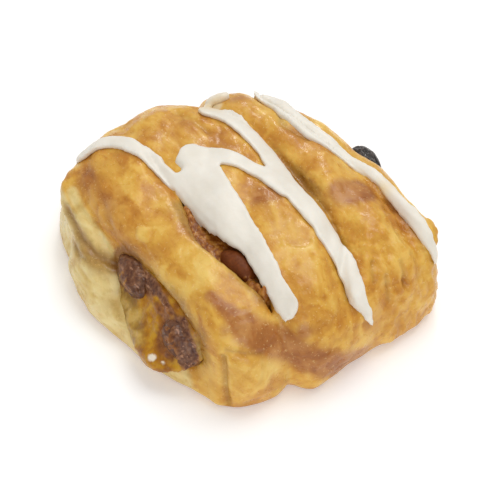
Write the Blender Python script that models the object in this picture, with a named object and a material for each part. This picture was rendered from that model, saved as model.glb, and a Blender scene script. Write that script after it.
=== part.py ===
"""Danish pastry: a folded dough parcel round a custard and raisin filling, striped with white icing.

The model is drawn in millimetres and built in metres. +X runs from the open end of the fold to the
closed-in far end, the three ridges of dough lie along Y, and +Z is up. The origin is the middle of the base.
"""
import math
from bisect import bisect_right

import bmesh
import bpy
from mathutils import Matrix, Vector

MM = 0.001                      # millimetres to metres
GAP = 0.3                       # clearance between touching pieces
BASE_MIDDLE = (4.4, 0.35, 0)    # middle of the base in the drawing's own plan, which becomes the origin

# Dough block: the folded parcel, a row of ridges along Y.
LEFT_END = ((-30, -28.3), (-15, -28.3), (0, -29.5), (15, -31.5), (28, -32))       # x by y
RIGHT_END = ((-46, 43.4), (-41, 45.4), (-36, 47.2), (-31, 47), (-20, 46), (5, 45.6), (30, 44.5))
FRONT_EDGE = ((-34, -38.8), (-30, -44), (-26, -47), (-20, -47.4), (-14, -46.8), (-8.5, -46.4), (-3, -50.4),
              (4, -51.6), (10, -50), (20, -47.5), (30, -46.7), (38, -46), (42, -44.3), (46, -41), (49, -35))
BACK_EDGE = ((-34, 40), (-31, 43), (-22, 48.2), (-12, 50.5), (2, 50.5), (9, 49.6), (14, 47), (20, 47),
             (26, 44.6), (32, 39.5), (37, 33.5), (41, 23), (44, 10), (46, 0), (49, -10))
CREST_HEIGHT = ((-32, 29.5), (-21, 31), (-12, 32.3), (5, 33), (18, 32.7), (31, 32), (40, 29.5), (48, 28))
VALLEY_LINES = (                # x of each valley between two ridges, by y
    ((-47, -8.5), (-36, -8.8), (-20, -9.8), (-5, -10.8), (20, -11), (46, -9)),
    ((-50, 10.5), (-46, 11), (-42, 12.5), (-30, 18.5), (-20, 21.5), (0, 22), (18, 21.5), (30, 17.5),
     (44, 14)),
    ((-44, 37), (-35, 38.5), (-15, 39), (5, 36.5), (20, 33), (30, 30.5)),
)
VALLEY_DEPTHS = (               # depth of each valley under its ridges, by y
    ((-47, 2), (-42, 1.2), (-36, 2.5), (-20, 5.5), (0, 5.5), (18, 3.5), (32, 1.2), (46, 0.6)),
    ((-48, 0.5), (-45, 1), (-42, 3.5), (-25, 6), (0, 5.5), (20, 3.5), (36, 3), (44, 3.6)),
    ((-44, 1.5), (-30, 5), (-15, 3), (10, 2.5), (25, 3.5), (35, 2.5)),
)
LEFT_END_DROP = 9               # how far the block draws in at its two ends
RIGHT_END_DROP = 5.5
END_DOME = 2.5                  # how far the middle of each end stands out
RIDGE_POWER = 2.3               # roundness of a ridge, 2 is a half ellipse
RIDGE_STATIONS = (12, 12, 9, 6)
FRONT_POWER = 3.3               # squareness of the block seen along X, at its front and its back
BACK_POWER = 5.5
ARCH_STEPS = 24
SOLVE_STEPS = 12                # rounds that settle where a bending ridge line meets the block's edge
WIDEST_HEIGHT = 12              # the walls tuck in below this height
BASE_TUCK = 2.3
ROUND_LUMPS = (0.5, 0.19, 1.1, 0.16, 0.5)       # height, then waves and their start along X and along Y
SLANTING_LUMPS = (0.35, 0.37, -0.29, 2.0)       # height, waves along X, waves along Y and their start

# Base roll: the lower layer of dough that pokes out under the open end.
ROLL_EDGE = ((-38, -29), (-30, -33.5), (-20, -37.9), (-8, -41.8), (4, -42.6), (14, -41.5), (24, -39.4),
             (34, -38.8), (41, -38), (46, -35))
ROLL_HEIGHT = ((-38, 14), (-30, 9.5), (-20, 8.5), (-8, 9.5), (3, 13), (12, 18), (24, 22.5), (46, 24.5))
ROLL_INNER = -25
ROLL_LIFT = 0.2                 # the roll's underside hangs just clear of the table
ROLL_STATIONS = 17
ROLL_END_SHRINK = 0.62          # how much smaller the roll is at its two ends, and how suddenly
ROLL_END_POWER = 9
ROLL_POWER = 2.4
ROLL_ARCH_POINTS = 15
ROLL_TUCK = 0.15                # how much narrower the roll is at its foot

# Filling: custard through the parcel, as (x, front y, back y, underside z, upper z).
FILLING = ((-40.4, -25, -19, 6, 9), (-38.6, -27.5, -13, 5.4, 10), (-36, -29.5, -1, 5.2, 12),
           (-33.5, -30.8, 7.5, 5.2, 15), (-31, -31.6, 12, 5.2, 18.5), (-28.5, -32.4, 14, 5.2, 21.6),
           (-25, -33.5, 14.5, 5.5, 22.8), (-20, -34.5, 15, 6, 24), (-14, -35.5, 16, 6, 26.2),
           (-8, -36, 17, 6, 26.2), (-3, -35.5, 17, 6.2, 24.5), (5, -35, 17, 6.5, 22), (25, -31, 16, 7, 20),
           (38, -23, 13, 8, 20), (44, -14, 10, 9, 19.5), (46.6, -9, 7, 11, 17.5))
FILLING_STEPS = 20
FILLING_POWER = 2.5

# Slit between the first two ridges, open down to the filling, as (y, x, half width).
SLIT = ((12, -9.4, 0.5), (6, -9.8, 1.4), (1, -10.4, 2.8), (-4, -10.8, 4), (-11, -10.8, 4.8), (-20, -10, 4.6),
        (-28, -9.4, 3.4), (-36.5, -8.8, 0.6))
SLIT_FLOOR = 14
SLIT_STATIONS = 15
ABOVE_ALL = 45                  # a height clear of the whole pastry

# Raisins, as (name, centre, radii, tilt of the back end upward and turn about Z, both in degrees).
RAISINS = (
    ("raisin_slit", (-9.2, -18.5, 25.4), (3.2, 6.2, 3.0), -4, 5),
    ("raisin_end_upper", (-30.7, 1.4, 17.3), (3.5, 6.8, 3.5), 6, -12),
    ("raisin_end_lower", (-30.6, -25, 13.6), (3.5, 6.6, 3.8), 32, 10),
    ("raisin_right", (46, -0.2, 22), (4.8, 7, 4.6), 0, -10),
)
RAISIN_SIDES = 14
RAISIN_RINGS = 8
RAISIN_DENT = 0.09              # how deep the raisins' folds are, as a share of the radius
RAISIN_FOLDS = 4
RAISIN_TWIST = 2.2              # how far the folds wind round from middle to tip, in radians

# Icing stripes, each a route of (x, y, width).
ICING_THICKNESS = 1.6
ICING_FLOOR = 13
ICING_ROUND = 6                 # points round the end of a stripe
STRIPE_STEPS = 2                # points of an outline from one row of its route to the next
STRIPE_BACK_LEFT = ((-25.2, 42.2, 2.8), (-21, 41.4, 3.6), (-17, 39.5, 4.4), (-14.4, 36, 4.6), (-12.6, 31, 4.7),
                    (-10.9, 25, 4.6), (-8.8, 15, 6.2))
POOL = ((-0.7, 20, 7.2), (-3.2, 14, 13.8), (-4.3, 5, 13.6), (-4.4, -6, 11.8), (-4, -15, 8.5), (-4.3, -23, 6.4),
        (-5.1, -30, 5.7), (-5.4, -35, 5.4), (-5, -38.8, 5.2))
ARC = ((-1.2, 19.4, 6.6), (4, 15.3, 6.6), (8.8, 9.8, 5.2), (12.3, 2.8, 5), (14.5, -6.6, 5.6))
STRIPE_MIDDLE = ((12.6, 33.6, 4.6), (16.4, 28.8, 5.6), (17.9, 20, 5.8), (18.4, 10.5, 5.6), (17.5, 0, 6.2),
                 (16.4, -10, 6.8), (16.6, -19, 6.7), (16.2, -27, 5.9), (16.3, -33, 5.8), (15.7, -39, 4.9),
                 (15.2, -43.7, 4), (15.7, -45.8, 3), (16.6, -46.9, 2))
TURN = ((12.2, 32.8, 2.6), (14.4, 36, 2.2), (16.4, 38.2, 2.2), (18.8, 37.8, 2.4), (21, 36.8, 1.6))
STRIPE_RIGHT = ((31, 34.8, 5.6), (32, 29, 6.2), (33.7, 19.5, 5.5), (35.8, 8, 4.6), (38.3, -2, 3.8),
                (40.6, -11, 3.4), (41.7, -20, 3.8), (41.7, -29, 4.3), (41.3, -35, 3.9), (41.4, -38.5, 3.2),
                (41.9, -40.6, 2.2))

# Surface finish of each material: colour, roughness.
DOUGH_LOOK = ((0.60, 0.32, 0.08), 0.42)
FILLING_LOOK = ((0.42, 0.19, 0.03), 0.25)
RAISIN_LOOK = ((0.10, 0.035, 0.015), 0.4)
ICING_LOOK = ((0.80, 0.75, 0.66), 0.5)
SHARP_ANGLE = 40                # edges turning more than this, in degrees, are shaded sharp


def smooth(knots, at):
    """Value at one place on a smooth curve through (place, value) knots, held level past its ends."""
    places = [knot[0] for knot in knots]
    values = [knot[1] for knot in knots]
    if at <= places[0]:
        return values[0]
    if at >= places[-1]:
        return values[-1]
    first = bisect_right(places, at) - 1
    span = places[first + 1] - places[first]
    share = (at - places[first]) / span

    def slope(index):
        before, after = max(index - 1, 0), min(index + 1, len(places) - 1)
        return (values[after] - values[before]) / (places[after] - places[before])

    square, cube = share ** 2, share ** 3
    return ((2 * cube - 3 * square + 1) * values[first] + (cube - 2 * square + share) * span * slope(first)
            + (3 * square - 2 * cube) * values[first + 1] + (cube - square) * span * slope(first + 1))


def column(rows, index):
    """(place, value) knots out of a table whose first column is the place."""
    return tuple((row[0], row[index]) for row in rows)


def spread(start, end, count):
    """Evenly spaced values from start to end."""
    return [start + (end - start) * index / (count - 1) for index in range(count)]


def material(name, look):
    """A plain surface finish."""
    colour, roughness = look
    made = bpy.data.materials.get(name) or bpy.data.materials.new(name)
    made.use_nodes = True
    shader = made.node_tree.nodes["Principled BSDF"]
    shader.inputs["Base Color"].default_value = (*colour, 1)
    shader.inputs["Roughness"].default_value = roughness
    shader.inputs["Metallic"].default_value = 0
    return made


def to_object(name, work):
    """A bmesh drawn in millimetres, as an object in metres.

    Quads split along the same diagonal in a piece and its grown copy, so the gap between them stays even.
    """
    bmesh.ops.triangulate(work, faces=work.faces, quad_method="FIXED")
    bmesh.ops.translate(work, vec=-Vector(BASE_MIDDLE), verts=work.verts)
    bmesh.ops.scale(work, vec=(MM, MM, MM), verts=work.verts)
    bmesh.ops.recalc_face_normals(work, faces=work.faces)
    mesh = bpy.data.meshes.new(name)
    work.to_mesh(mesh)
    work.free()
    made = bpy.data.objects.new(name, mesh)
    bpy.context.collection.objects.link(made)
    return made


def loft(name, loops, dome=0.0):
    """A closed solid through loops of equal point counts, with a fan of faces over each end.

    The middles of the two fans stand out by the dome, along X.
    """
    work = bmesh.new()
    rings = [[work.verts.new(point) for point in loop] for loop in loops]
    count = len(rings[0])
    for ring, following in zip(rings, rings[1:]):
        for index in range(count):
            beside = (index + 1) % count
            work.faces.new((ring[index], ring[beside], following[beside], following[index]))
    for ring, outward in ((rings[0], -dome), (rings[-1], dome)):
        middle = work.verts.new(sum((vert.co for vert in ring), Vector((outward * count, 0, 0))) / count)
        for index in range(count):
            work.faces.new((ring[index], ring[(index + 1) % count], middle))
    return to_object(name, work)


def prism(name, outline, bottom, top):
    """An upright solid over a closed plan outline."""
    work = bmesh.new()
    floor = work.faces.new([work.verts.new((x, y, bottom)) for x, y in outline])
    raised = bmesh.ops.extrude_face_region(work, geom=[floor])
    corners = [item for item in raised["geom"] if isinstance(item, bmesh.types.BMVert)]
    bmesh.ops.translate(work, vec=(0, 0, top - bottom), verts=corners)
    return to_object(name, work)


def combine(piece, tool, operation):
    """Cut, join or intersect a piece with a tool, which is used up."""
    change = piece.modifiers.new(operation, "BOOLEAN")
    change.operation = operation
    change.solver = "EXACT"
    change.object = tool
    depsgraph = bpy.context.evaluated_depsgraph_get()
    mesh = bpy.data.meshes.new_from_object(piece.evaluated_get(depsgraph))
    piece.modifiers.clear()
    piece.data = mesh
    bpy.data.objects.remove(tool)


def arch_reach(half_width, height, power, angle):
    """Point of a half superellipse at a direction from its centre, as (sideways, up)."""
    across, up = math.cos(angle), math.sin(angle)
    reach = ((abs(across) / half_width) ** power + (abs(up) / height) ** power) ** (-1 / power)
    return reach * across, reach * up


def tuck(up):
    """How far a wall draws in toward the base."""
    return BASE_TUCK * max(0, 1 - up / WIDEST_HEIGHT) ** 2


def unevenness(x, y):
    """The gentle lumps of risen dough."""
    height, x_waves, x_start, y_waves, y_start = ROUND_LUMPS
    lumps = height * math.sin(x_waves * x + x_start) * math.sin(y_waves * y + y_start)
    height, x_waves, y_waves, start = SLANTING_LUMPS
    return lumps + height * math.sin(x_waves * x + y_waves * y + start)


def ridge_stations():
    """Places along X, each as (left line, right line, place from -1 to 1 between the two)."""
    stations = []
    for ridge, count in enumerate(RIDGE_STATIONS):
        for step in range(count if ridge < len(RIDGE_STATIONS) - 1 else count + 1):
            stations.append((ridge, math.sin(math.pi * (step / count - 0.5))))
    return stations


def line_x(line, y, grow):
    """X of the block's end or valley lines at one y."""
    if line == 0:
        return smooth(LEFT_END, y) - grow
    if line == len(VALLEY_LINES) + 1:
        return smooth(RIGHT_END, y) + grow
    return smooth(VALLEY_LINES[line - 1], y)


def line_depth(line, y):
    """How deep the block draws in at one of its lines."""
    if line == 0:
        return LEFT_END_DROP
    if line == len(VALLEY_LINES) + 1:
        return RIGHT_END_DROP
    return smooth(VALLEY_DEPTHS[line - 1], y)


def block_point(ridge, place, angle, grow):
    """Point of the block's skin, for one station and one direction round its arch."""
    y = 0
    for _ in range(SOLVE_STEPS):
        x = line_x(ridge, y, grow) + (line_x(ridge + 1, y, grow) - line_x(ridge, y, grow)) * (place + 1) / 2
        front = smooth(FRONT_EDGE, x) - grow
        back = smooth(BACK_EDGE, x) + grow
        height = smooth(CREST_HEIGHT, x) + grow
        near_line = ridge if place < 0 else ridge + 1
        rounding = 1 - (1 - abs(place) ** RIDGE_POWER) ** (1 / RIDGE_POWER)
        drop = line_depth(near_line, y) * rounding - unevenness(x, y)
        power = FRONT_POWER if angle > math.pi / 2 else BACK_POWER
        across, up = arch_reach((back - front) / 2 - drop, height - drop, power, angle)
        pulled_in = tuck(up) * math.copysign(1, across)
        y = (front + back) / 2 + across - pulled_in
    return Vector((x, y, up))


def dough_block(name, grow=0.0):
    """The ridged parcel as one solid, or its copy grown outward."""
    angles = spread(math.pi, 0, ARCH_STEPS + 1)
    loops = [[block_point(ridge, place, angle, grow) for angle in angles]
             for ridge, place in ridge_stations()]
    return loft(name, loops, END_DOME)


def base_roll():
    """The lower layer of dough at the open end, a long low mound along Y."""
    loops = []
    for place in spread(-1, 1, ROLL_STATIONS):
        y = ROLL_EDGE[0][0] + (ROLL_EDGE[-1][0] - ROLL_EDGE[0][0]) * (place + 1) / 2
        size = 1 - ROLL_END_SHRINK * abs(place) ** ROLL_END_POWER
        half_width = size * (ROLL_INNER - smooth(ROLL_EDGE, y)) / 2
        height = size * smooth(ROLL_HEIGHT, y)
        loop = []
        for angle in spread(math.pi, 0, ROLL_ARCH_POINTS):
            across, up = arch_reach(half_width, height, ROLL_POWER, angle)
            narrowed = across * (1 - ROLL_TUCK * tuck(up) / BASE_TUCK)
            loop.append(Vector((ROLL_INNER - half_width + narrowed, y, ROLL_LIFT + up)))
        loops.append(loop)
    return loft("roll", loops)


def filling_body(name, grow=0.0):
    """The custard, drawn out to its uneven left edge, or its copy grown outward."""
    places = [row[0] for row in FILLING]
    loops = []
    for x in places:
        front, back, low, high = (smooth(column(FILLING, index), x) for index in range(1, 5))
        loop = []
        for angle in spread(0, 2 * math.pi, FILLING_STEPS + 1)[:-1]:
            across, up = arch_reach((back - front) / 2 + grow, (high - low) / 2 + grow, FILLING_POWER, angle)
            loop.append(Vector((x, (front + back) / 2 + across, (low + high) / 2 + up)))
        loops.append(loop)
    for loop, outward in ((loops[0], -grow), (loops[-1], grow)):
        for point in loop:
            point.x += outward
    return loft(name, loops)


def slit_cutter():
    """The lens-shaped opening between the first two ridges."""
    stations = spread(SLIT[-1][0], SLIT[0][0], SLIT_STATIONS)
    rows = tuple(reversed(SLIT))
    left = [(smooth(column(rows, 1), y) - smooth(column(rows, 2), y), y) for y in stations]
    right = [(smooth(column(rows, 1), y) + smooth(column(rows, 2), y), y) for y in reversed(stations)]
    return prism("slit", left + right, SLIT_FLOOR, ABOVE_ALL)


def raisin(name, centre, radii, tilt, turn, grow=0.0):
    """A wrinkled dried grape, or its copy grown outward."""
    work = bmesh.new()
    bmesh.ops.create_uvsphere(work, u_segments=RAISIN_SIDES, v_segments=RAISIN_RINGS, radius=1)
    for vert in work.verts:
        x, y, z = vert.co
        wave = math.sin(RAISIN_FOLDS * math.atan2(z, x) + RAISIN_TWIST * y)
        fold = 1 - RAISIN_DENT * (1 + wave) / 2 * (1 - y * y)
        vert.co = Vector((x * fold * radii[0], y * radii[1], z * fold * radii[2]))
        vert.co += Vector((x, y, z)) * grow
    lie = Matrix.Rotation(math.radians(turn), 4, "Z") @ Matrix.Rotation(math.radians(tilt), 4, "X")
    place = Matrix.Translation(centre) @ lie
    bmesh.ops.transform(work, matrix=place, verts=work.verts)
    return to_object(name, work)


def stripe_outline(route):
    """Closed plan outline of a stripe, with a half-round at both ends."""
    along = spread(0, len(route) - 1, STRIPE_STEPS * (len(route) - 1) + 1)
    keyed = tuple((index, *row) for index, row in enumerate(route))
    middle = [Vector((smooth(column(keyed, 1), at), smooth(column(keyed, 2), at))) for at in along]
    halves = [smooth(column(keyed, 3), at) / 2 for at in along]
    left, right = [], []
    for index, (point, half) in enumerate(zip(middle, halves)):
        ahead = (middle[min(index + 1, len(middle) - 1)] - middle[max(index - 1, 0)]).normalized()
        side = Vector((-ahead.y, ahead.x)) * half
        left.append(point + side)
        right.append(point - side)

    def end_cap(centre, start):
        """Points of the half circle that runs clockwise from one side of the stripe to the other."""
        arm = start - centre
        return [centre + Matrix.Rotation(-angle, 2) @ arm for angle in spread(0, math.pi, ICING_ROUND)[1:-1]]

    return left + end_cap(middle[-1], left[-1]) + right[::-1] + end_cap(middle[0], right[0])


def icing(name, routes):
    """Icing lying on the dough: the stripes' plan, cut from a skin over the block."""
    made = prism(name, stripe_outline(routes[0]), ICING_FLOOR, ABOVE_ALL)
    for route in routes[1:]:
        combine(made, prism("stripe", stripe_outline(route), ICING_FLOOR, ABOVE_ALL), "UNION")
    combine(made, dough_block("skin", GAP + ICING_THICKNESS), "INTERSECT")
    combine(made, dough_block("underside", GAP), "DIFFERENCE")
    slit_raisin = RAISINS[0]
    combine(made, raisin("clearance", *slit_raisin[1:], GAP), "DIFFERENCE")
    return made


def dough():
    """The whole dough: parcel and base roll, hollow where the filling runs through."""
    made = dough_block("dough")
    combine(made, base_roll(), "UNION")
    combine(made, slit_cutter(), "DIFFERENCE")
    combine(made, filling_body("tunnel", GAP), "DIFFERENCE")
    for row in RAISINS:
        combine(made, raisin("clearance", *row[1:], GAP), "DIFFERENCE")
    return made


def filling():
    """The custard, with a hollow for each raisin."""
    made = filling_body("filling")
    for row in RAISINS:
        combine(made, raisin("clearance", *row[1:], GAP), "DIFFERENCE")
    return made


def finish(piece, look_name, look):
    """Give a piece its material and shade its round surfaces smooth."""
    piece.data.materials.clear()
    piece.data.materials.append(material(look_name, look))
    piece.data.shade_smooth()
    piece.data.set_sharp_from_angle(angle=math.radians(SHARP_ANGLE))


def build():
    """Make the pastry in an empty scene."""
    for item in list(bpy.data.objects):
        bpy.data.objects.remove(item)
    finish(dough(), "baked dough", DOUGH_LOOK)
    finish(filling(), "custard", FILLING_LOOK)
    for row in RAISINS:
        finish(raisin(*row), "raisin", RAISIN_LOOK)
    finish(icing("icing_main", (STRIPE_BACK_LEFT, POOL, ARC, STRIPE_MIDDLE, TURN)), "icing", ICING_LOOK)
    finish(icing("icing_right", (STRIPE_RIGHT,)), "icing", ICING_LOOK)


build()
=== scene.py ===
"""Looks of a danish pastry: glazed flaky crust, custard, jam and raisins, and white icing.

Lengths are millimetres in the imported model's own frame, and points are rows of a numpy array. The open end
faces -X, the three ridges lie along Y, and +Z is up. A table of places gives, for each place, its middle, its
radii along X, Y and Z, and a strength or a push. A seed only picks the pattern of a noise.
"""

import itertools
import math

import bmesh
import bpy
import numpy as np
from mathutils import Matrix, Vector
from mathutils.bvhtree import BVHTree
from mathutils.kdtree import KDTree


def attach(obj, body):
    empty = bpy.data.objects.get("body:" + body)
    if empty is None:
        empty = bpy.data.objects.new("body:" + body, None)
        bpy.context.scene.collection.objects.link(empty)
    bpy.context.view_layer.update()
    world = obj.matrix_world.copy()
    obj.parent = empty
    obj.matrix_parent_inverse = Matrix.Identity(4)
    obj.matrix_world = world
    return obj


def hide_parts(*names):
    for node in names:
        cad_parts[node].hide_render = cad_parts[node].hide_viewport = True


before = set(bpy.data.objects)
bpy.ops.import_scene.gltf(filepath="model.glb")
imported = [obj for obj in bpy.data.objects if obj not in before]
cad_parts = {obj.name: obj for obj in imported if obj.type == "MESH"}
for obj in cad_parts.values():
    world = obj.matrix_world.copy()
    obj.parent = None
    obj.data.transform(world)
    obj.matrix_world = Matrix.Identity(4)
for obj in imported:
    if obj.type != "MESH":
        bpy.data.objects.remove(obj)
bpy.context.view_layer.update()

MM = 0.001
FLAT = np.array((1, 1, 0))      # takes points down onto the table

# ---------------------------------------------------------------- fineness of the meshes

CRUST_GRID = 0.62
FILLING_GRID = 0.5
ICING_GRID = 0.42
RAISIN_GRID = 0.3
CRUST_ROUNDS = 14               # rounds of smoothing that take the facets off the CAD shape
FILLING_ROUNDS = 3
ICING_ROUNDS = 7
RAISIN_ROUNDS = 4

# ---------------------------------------------------------------- routes over the crust

BROWN_BAND = (
    (-22.4, -38, 25), (-19, -41.5, 22), (-13.7, -43.5, 18), (-8.5, -46.8, 14), (-3, -49.3, 9.5),
    (4, -49.8, 5.5), (8, -49, 4),
)
BAND_START = ((-26.6, -26.5, 29.3), (-25.6, -30, 28.3), (-24.4, -33.5, 27), (-22.4, -38, 25))
BAND = ((BROWN_BAND, 1, 4.6), (BAND_START, 0.7, 2))      # route, strength, width
RIDGE_ONE_EDGE = (
    (-30.6, 36.6, 27.4), (-31.6, 30.5, 27.9), (-33.2, 21.3, 27.2), (-34.7, 13.7, 25.4), (-34.7, 6.5, 22.9),
)
UPPER_LIP = (
    (-34.7, 5, 22.5), (-33.3, -5.1, 21.4), (-32.4, -17.3, 22.3), (-32.2, -24.5, 21.8), (-32.4, -30.5, 20.7),
    (-33, -33, 15),
)
FRONT_FOLD = (
    (-30.3, -39.2, 19.2), (-30.9, -40.4, 17.3), (-31.3, -41.6, 10), (-31, -42.3, 4.1), (-30.5, -42, 1),
)
FACET_TOP = ((-29.2, -39, 21.5), (-25.5, -42.8, 21), (-21.1, -44.4, 20.2))
FACET_SIDE = ((-21.1, -44.4, 20.2), (-22.4, -47, 15), (-23.6, -47.8, 11))
LEFT_CREASE = (
    (-40.4, 30.5, 19.8), (-40.8, 28, 19.6), (-41.5, 20.8, 18.5), (-41.2, 12.7, 17.5), (-38.5, 8.9, 16.6),
    (-36.3, 6.5, 16),
)
LOW_CREASE = ((-42.6, 24, 14), (-43.2, 17, 14.6), (-42, 11.5, 15.8))
PALE_STRIP = (
    (-36.5, 33, 22.6), (-37.8, 28.3, 22.2), (-38.4, 22, 21.4), (-38.1, 17.9, 20.5), (-36.6, 11.1, 17.9),
)
RIGHT_CREVICE = ((35.4, -21, 27.6), (35.6, -27.2, 26.9), (36, -31, 26.6), (36.4, -35.5, 25.9))
MIDDLE_VALLEY = (
    (17.8, 13, 28), (18.3, -1.3, 29), (18, -11.6, 28), (16.9, -21, 27), (14.2, -28, 26.5),
    (12.2, -34.4, 23), (8.2, -41.3, 22.2),
)
BACK_CREVICE = ((26, 21, 31.2), (24, 16.8, 32.3), (25, 13.9, 32.2), (27.5, 8, 31.8))
BACK_FOLD = ((1.2, 38, 31), (3, 31, 32), (4, 25.2, 32.3))
FRONT_CRACKS = (
    ((20.8, -41.2, 23.6), (19.8, -43.6, 20.5), (19.4, -45.2, 17.8)),
    ((18.8, -37.6, 26.7), (17.2, -40, 25.2), (16.7, -41.7, 23.7)),
    ((26.6, -40, 24.4), (26.2, -42.4, 22), (25.4, -44.1, 19.4)),
    ((30.5, -38.5, 24), (31, -41, 21), (30.4, -43, 18)),
)
ARC_FLAKE = ((-1.4, -23.6, 32), (0.2, -26.2, 32), (3, -28, 31.8), (5.6, -28, 31.6), (7, -26.2, 31.6))
RIGHT_MARGIN = ((33.6, 17, 29), (37, 3, 28.6), (38.9, -8.2, 28.6), (40, -20, 28), (41, -33, 27))
SLIT_EDGE = (
    (-15.8, 6, 30), (-17, 1, 29.8), (-18.2, -5.9, 29.8), (-18.4, -12, 29.8), (-17.4, -19, 29.6),
    (-16, -24, 29.2), (-14.8, -29, 28), (-13.8, -33.5, 26.4),
)

# ---------------------------------------------------------------- places on the crust

OVAL_FLAKE = ((-30.3, 2.9, 29.1), (1.9, 2.9, 2))
# The slit between the first two ridges: a place along Y, the slit's middle in X, and half its width.
SLIT_ROWS = (
    (-36.9, -13.2, 0.6), (-28.4, -13.8, 3.4), (-20.4, -14.4, 4.6), (-11.4, -15.2, 4.8), (-4.4, -15.2, 4),
    (0.6, -14.8, 2.8), (5.6, -14.2, 1.4), (11.6, -13.8, 0.5),
)
BROWNED = (
    ((28.5, -16.5, 31), (7.5, 5.5, 6), 1.25), ((6, -6, 33), (5.5, 4.5, 4), 1.1),
    ((19.4, 33.5, 31), (5, 5, 5), 0.8), ((23.5, -14.5, 31.8), (4.5, 4, 4), 0.8),
    ((8, 22, 32.5), (5, 4, 4), 0.35), ((-34, 4, 23.5), (2.5, 3.5, 3), 0.4),
    ((-31.5, 18, 28.2), (3, 6, 4), 0.5), ((0, 31, 32), (3, 7, 4), 0.6), ((36, -27, 27), (2.2, 6, 3), 0.5),
    ((34.6, -24, 27.5), (2, 4, 3), 0.5), ((11, 2, 31.8), (3, 7, 3), 0.4),
    ((-2, -45.5, 22), (6, 3.5, 4), 0.5), ((-9, -45.2, 21.8), (3.5, 2.5, 3), 0.9),
    ((-27.8, -36.4, 25), (3, 3, 4), 0.7), ((-23.3, -36, 26), (3, 3, 3), 0.6),
    ((1, -4, 33), (4, 4, 4), 0.35), ((-34.5, 33, 25.5), (4, 6, 4), 0.6),
    ((-22, -29, 29.5), (3, 5, 3), 0.35),
)
GOLDEN = (
    ((-6, 33, 31), (6, 5, 5), 0.9), ((-31.5, 18, 28), (3.5, 7, 5), 1.2), ((-32, 12, 27), (4.5, 9, 5), 1.0),
    ((25, 4, 32), (6, 12, 5), 0.9), ((35, -28, 27), (5, 10, 6), 1.1), ((2, 24, 33), (9, 8, 5), 0.7),
    ((18, 30, 31), (8, 8, 5), 0.6), ((-22, 8, 31.5), (4, 6, 4), 0.5), ((2, -3, 33), (6, 8, 5), 0.6),
    ((12, -46, 16), (14, 5, 7), 0.6), ((-4, -40, 28), (6, 6, 5), 0.5), ((23, -43, 20), (9, 6, 8), 0.6),
    ((-14, -36, 26), (5, 5, 4), 0.7),
)
PALE = (
    ((-27, 30, 29.5), (5, 6, 4), 0.7), ((23.5, 20, 32), (5, 6, 4), 0.8), ((-30, -38, 8), (5, 6, 8), 0.8),
    ((3.5, -20.5, 32), (4, 4.5, 4), 0.7), ((14, 17, 31), (5, 8, 5), 0.4), ((38, -37, 18), (7, 8, 10), 0.8),
    ((0, -17, 32), (6, 9, 6), 0.5), ((-24.5, -14, 31), (4.5, 14, 5), 0.95),
    ((-20.5, 10, 31), (4, 6, 4), 0.6), ((23, -26.5, 30.5), (3, 3.5, 4), 0.6),
    ((28.5, -35, 27), (3, 3, 4), 0.7), ((-24.8, -44.5, 15), (6.5, 5, 7), 1.25),
    ((-31, -20, 25.5), (2.4, 9, 3), 0.5), ((40.5, -33, 27), (4, 6, 5), 0.8),
    ((-13, -46, 5), (4, 4, 4), 0.6), ((-18, -47, 8), (5, 4, 8), 0.2), ((-36, -37, 6), (4, 4, 6), 0.8),
)
MILKY = (((12, 35, 30), (3, 2.2, 3), 1.3), ((37, -14.5, 29.5), (1.6, 4, 3), 0.8))
# Spots of painted shade: in the valley by the third ridge, by the slit, and around the open end.
SHADED = (
    ((18, -8, 29), (3.5, 9, 4), 0.9), ((-19.5, -2, 30), (2.6, 9, 3), 0.7), ((-43, -3, 10), (3, 9, 6), 0.5),
    ((-40, 8, 15), (3, 4, 5), 0.8),
)
STAINS = (
    ((-36.5, 6, 16.5), (4, 3.5, 4), 1.1), ((-36, 7.5, 20), (3, 3, 3), 0.9),
    ((-34.2, 2, 22), (2.4, 5, 3), 0.9), ((-33, -24, 21), (1.6, 5, 2), 0.6),
)
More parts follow.
